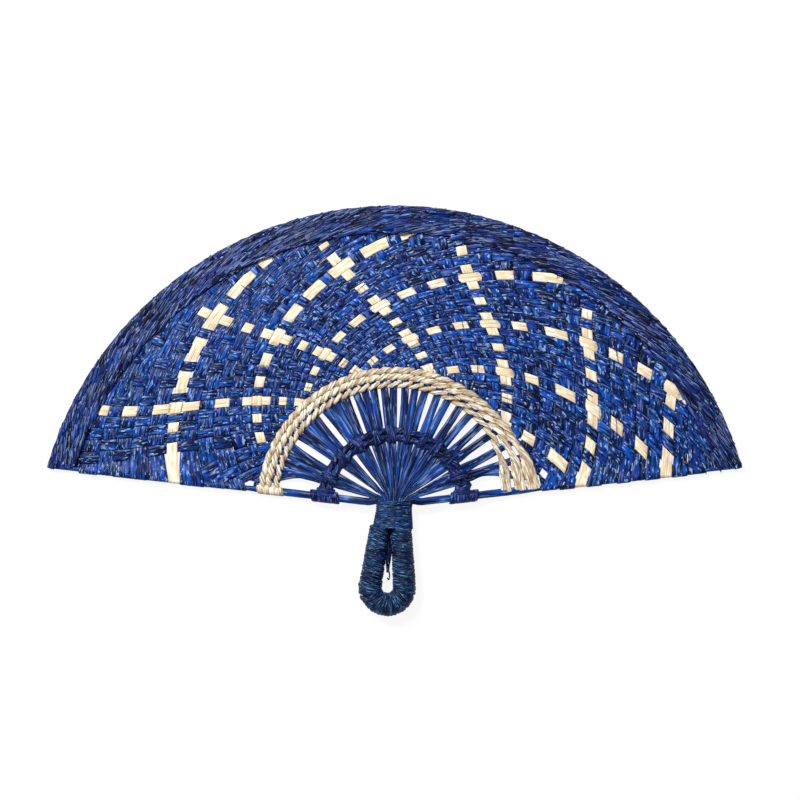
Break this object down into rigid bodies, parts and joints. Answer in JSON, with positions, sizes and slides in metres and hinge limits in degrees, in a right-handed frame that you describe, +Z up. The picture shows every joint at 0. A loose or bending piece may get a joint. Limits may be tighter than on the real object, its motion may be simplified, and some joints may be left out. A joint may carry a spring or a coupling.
{
  "type": "hand fan",
  "caption": "Half-moon hand fan plaited from dyed palm strips on ribs bound at a neck, with a cream check, a twined arch and border, and a wound carrying loop.",
  "frame": {"origin": "under the middle of the fan's box, on the surface that the fan lies on", "axes": "+X to the right across the blade, +Y from the carrying loop to the top of the blade, +Z up out of the front face"},
  "size_m": [0.4012, 0.2364, 0.0137],
  "materials": {
    "blue_palm": "dyed palm strip, satin",
    "blue_stem": "dyed leaf stem, satin",
    "dark_blue_palm": "dyed palm strand, satin",
    "cream_palm": "undyed palm strip, satin",
    "teal_cord": "twisted plant-fibre cord, matt"
  },
  "bodies": {
    "root": {"rib_01": "blue_palm", "rib_02": "blue_palm", "rib_03": "blue_palm", "rib_04": "blue_palm", "rib_05": "blue_palm", "rib_06": "blue_palm", "rib_07": "blue_palm", "rib_08": "blue_palm", "rib_09": "blue_palm", "rib_10": "blue_palm", "rib_11": "blue_palm", "rib_12": "blue_palm", "hung_strip_01": "blue_palm", "hung_strip_02": "blue_palm", "hung_strip_03": "blue_palm", "hung_strip_04": "cream_palm", "hung_strip_05": "blue_palm", "hung_strip_06": "blue_palm", "hung_strip_07": "blue_palm", "hung_strip_08": "blue_palm", "cream_strip_1": "cream_palm", "cream_strip_2": "cream_palm", "cream_strip_3": "cream_palm", "cream_strip_4": "cream_palm", "cream_strip_5": "cream_palm", "arch_twine_1_front": "cream_palm", "arch_twine_1_back": "cream_palm", "arch_twine_2_front": "cream_palm", "arch_twine_2_back": "cream_palm", "arch_twine_3_front": "cream_palm", "arch_twine_3_back": "cream_palm", "edge_rod_left": "blue_stem", "edge_rod_right": "blue_stem", "hub_twine_1_front": "dark_blue_palm", "hub_twine_1_back": "dark_blue_palm", "hub_twine_2_front": "dark_blue_palm", "hub_twine_2_back": "dark_blue_palm", "border_row_1_front": "dark_blue_palm", "border_row_1_back": "dark_blue_palm", "border_row_2_front": "dark_blue_palm", "border_row_2_back": "dark_blue_palm", "border_row_3_front": "dark_blue_palm", "border_row_3_back": "dark_blue_palm", "rim_cord": "dark_blue_palm", "handle_loop": "blue_palm", "handle_wrap": "teal_cord", "neck_binding": "teal_cord"}
  },
  "joints": []
}
